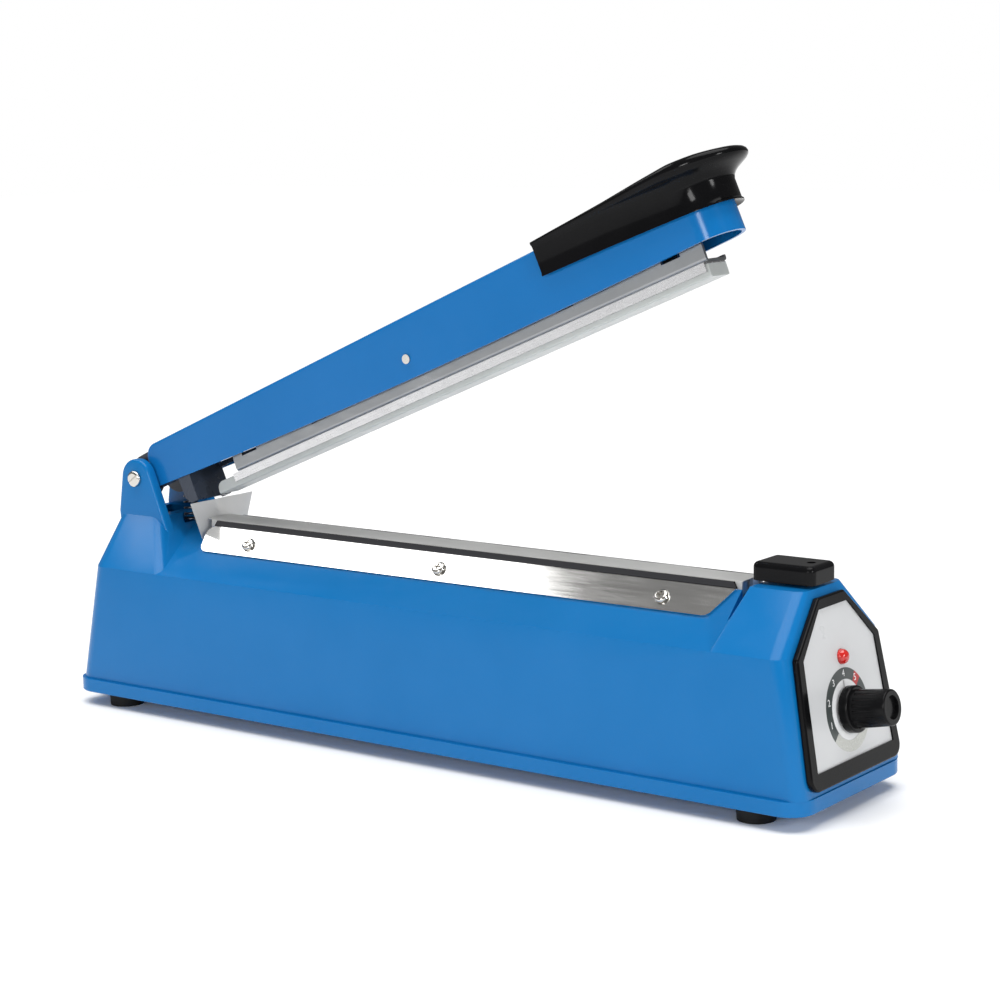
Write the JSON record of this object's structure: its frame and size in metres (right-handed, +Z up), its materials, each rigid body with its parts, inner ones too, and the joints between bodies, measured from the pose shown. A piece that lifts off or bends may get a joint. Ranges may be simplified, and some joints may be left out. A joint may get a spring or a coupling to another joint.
{
  "type": "impulse heat sealer",
  "caption": "Hand impulse sealer for plastic bags: a hinged arm with a sprung silicone press bar closes on a cloth-covered heating strip; a knob sets the sealing time.",
  "frame": {"origin": "under the middle of the whole machine, on the surface that it stands on", "axes": "+X runs from the hinge end to the control panel, +Z is up, and -Y is the side with the hinge pin's head"},
  "size_m": [0.34, 0.0708, 0.2135],
  "materials": {
    "blue_plastic": "smooth glossy blue",
    "black_plastic": "satin black",
    "foot_rubber": "soft black",
    "screw_steel": "zinc plated",
    "bar_aluminium": "milled",
    "insulation": "woven glass tape",
    "resistance_wire": "rolled ribbon",
    "ptfe_cloth": "thin waxy cloth",
    "plate_aluminium": "smooth satin",
    "label_film": "pale grey film",
    "red_lens": "clear red lens",
    "dark_plastic": "moulded",
    "nickel": "nickel plated",
    "knob_plastic": "fluted black",
    "switch_plastic": "smooth black",
    "button_plastic": "red button",
    "grommet_rubber": "soft black",
    "terminal_brass": "plain brass",
    "core_steel": "stacked laminations",
    "coil_tape": "yellow winding tape",
    "strap_steel": "zinc plated",
    "board_green": "green board",
    "component_plastic": "moulded components",
    "spring_steel": "dark spring wire",
    "bracket_steel": "dark blue-grey",
    "blue_paint": "glossy blue paint",
    "handle_plastic": "glossy black",
    "channel_steel": "plain grey",
    "rail_aluminium": "extruded",
    "silicone": "translucent grey"
  },
  "bodies": {
    "base": {"base_housing": "blue_plastic", "bottom_tray": "blue_plastic", "rubber_feet": "foot_rubber", "tray_screws": "screw_steel", "element_bar": "bar_aluminium", "insulation_tape": "insulation", "heating_wire": "resistance_wire", "ptfe_cover": "ptfe_cloth", "clamp_plate_near": "plate_aluminium", "clamp_plate_far": "plate_aluminium", "clamp_screws": "screw_steel", "control_bezel": "black_plastic", "control_label": "label_film", "indicator_lamp": "red_lens", "potentiometer": "dark_plastic", "potentiometer_nut": "nickel", "micro_switch": "dark_plastic", "cord_grommet": "grommet_rubber", "wire_terminals": "terminal_brass", "transformer_core": "core_steel", "transformer_coil": "coil_tape", "transformer_strap": "strap_steel", "timer_board": "board_green", "board_components": "component_plastic", "strap_screws": "screw_steel", "hinge_pin": "nickel", "hinge_clip": "spring_steel", "return_spring": "spring_steel"},
    "arm": {"arm_channel": "blue_paint", "hinge_bracket": "bracket_steel", "hinge_sleeve": "strap_steel", "guide_pin": "nickel", "arm_handle": "handle_plastic", "handle_screws": "screw_steel", "press_springs": "spring_steel"},
    "press_bar": {"press_channel": "channel_steel", "press_rail": "rail_aluminium", "silicone_strip": "silicone", "press_rivets": "rail_aluminium"},
    "knob": {"potentiometer_shaft": "bar_aluminium", "timer_knob": "knob_plastic"},
    "switch": {"switch_cap": "switch_plastic", "micro_switch_button": "button_plastic"}
  },
  "joints": [
    {"name": "arm_hinge", "type": "hinge", "parent": "base", "child": "arm", "pos_m": [-0.1508, 0, 0.087], "axis": [0, 1, 0], "range_deg": [0, 21.95], "stiffness_Nm_per_rad": 0.8, "springref_deg": -45.84, "deforming": ["return_spring"]},
    {"name": "press_slide", "type": "slide", "parent": "arm", "child": "press_bar", "axis": [-0.3738, 0, 0.9275], "range_m": [0, 0.0037], "deforming": ["press_springs"]},
    {"name": "knob_turn", "type": "hinge", "parent": "base", "child": "knob", "pos_m": [0.15118, 0, 0.0328], "axis": [0.9846, 0, 0.1749], "range_deg": [-135, 135]},
    {"name": "switch_press", "type": "slide", "parent": "base", "child": "switch", "axis": [0, 0, -1], "range_m": [0, 0.001], "stiffness_N_per_m": 800, "springref_m": -0.0015}
  ],
  "couplings": [
    {"joint": "press_slide", "follows": "arm_hinge", "m_per_rad": 0.0096}
  ]
}
